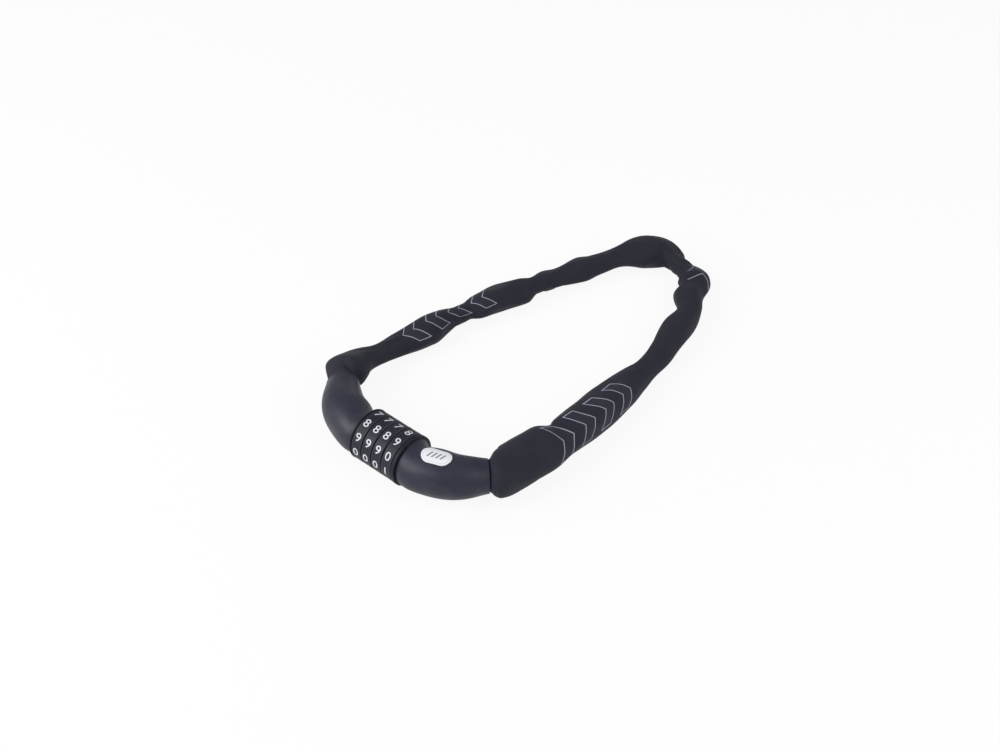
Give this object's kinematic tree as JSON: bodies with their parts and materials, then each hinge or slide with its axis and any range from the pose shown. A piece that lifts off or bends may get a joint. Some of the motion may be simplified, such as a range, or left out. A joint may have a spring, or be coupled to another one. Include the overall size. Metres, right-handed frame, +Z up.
{
  "type": "chain lock",
  "caption": "Combination chain lock: a curved rubber-covered lock body with number dials, closing a chain in a black fabric sleeve into a loop",
  "frame": {"origin": "under the middle of the whole lock, on the floor that it lies on", "axes": "+X along the dial axis, the way the bolt draws out; +Y from the lock body to the far end of the loop; +Z up"},
  "size_m": [0.1414, 0.2578, 0.0294],
  "materials": {
    "dial_plastic": "moulded black, slight sheen, rounded edges",
    "collar_plastic": "moulded black",
    "cover_rubber": "soft matt blue-black cover",
    "core_metal": "die-cast core, as cast",
    "ring_brass": "turned and broached",
    "plated_steel": "zinc-plated steel",
    "spring_steel": "spring strip",
    "chain_steel": "hardened four-sided wire links",
    "sleeve_fabric": "woven black nylon tube",
    "badge_metal": "plain silver badge, nothing printed"
  },
  "bodies": {
    "barrel_side": {"barrel": "plated_steel", "barrel_arm_core": "core_metal", "barrel_arm_cover": "cover_rubber", "barrel_chain_pin": "plated_steel", "barrel_cross_pin": "plated_steel", "barrel_ferrule": "plated_steel", "chain_links": "chain_steel", "detent_spring": "spring_steel", "retaining_clip": "plated_steel", "sleeve": "sleeve_fabric", "thin_collar": "collar_plastic"},
    "bolt_side": {"badge": "badge_metal", "bolt_arm_core": "core_metal", "bolt_arm_cover": "cover_rubber", "bolt_chain_pin": "plated_steel", "bolt_cross_pin": "plated_steel", "bolt_ferrule": "plated_steel", "locking_bolt": "plated_steel", "wide_collar": "collar_plastic"},
    "dial_1": {"dial_1": "dial_plastic", "code_ring_1": "ring_brass"},
    "dial_2": {"dial_2": "dial_plastic", "code_ring_2": "ring_brass"},
    "dial_3": {"dial_3": "dial_plastic", "code_ring_3": "ring_brass"},
    "dial_4": {"dial_4": "dial_plastic", "code_ring_4": "ring_brass"}
  },
  "joints": [
    {"name": "dial_1_turn", "type": "hinge", "parent": "barrel_side", "child": "dial_1", "pos_m": [0, -0.11418, 0.0147], "axis": [1, 0, 0], "continuous": true, "deforming": ["detent_spring"]},
    {"name": "dial_2_turn", "type": "hinge", "parent": "barrel_side", "child": "dial_2", "pos_m": [0, -0.11418, 0.0147], "axis": [1, 0, 0], "continuous": true, "deforming": ["detent_spring"]},
    {"name": "dial_3_turn", "type": "hinge", "parent": "barrel_side", "child": "dial_3", "pos_m": [0, -0.11418, 0.0147], "axis": [1, 0, 0], "continuous": true, "deforming": ["detent_spring"]},
    {"name": "dial_4_turn", "type": "hinge", "parent": "barrel_side", "child": "dial_4", "pos_m": [0, -0.11418, 0.0147], "axis": [1, 0, 0], "continuous": true, "deforming": ["detent_spring"]},
    {"name": "bolt_draw", "type": "slide", "parent": "barrel_side", "child": "bolt_side", "axis": [1, 0, 0], "range_m": [0, 0.036], "deforming": ["sleeve", "chain_links"]}
  ]
}
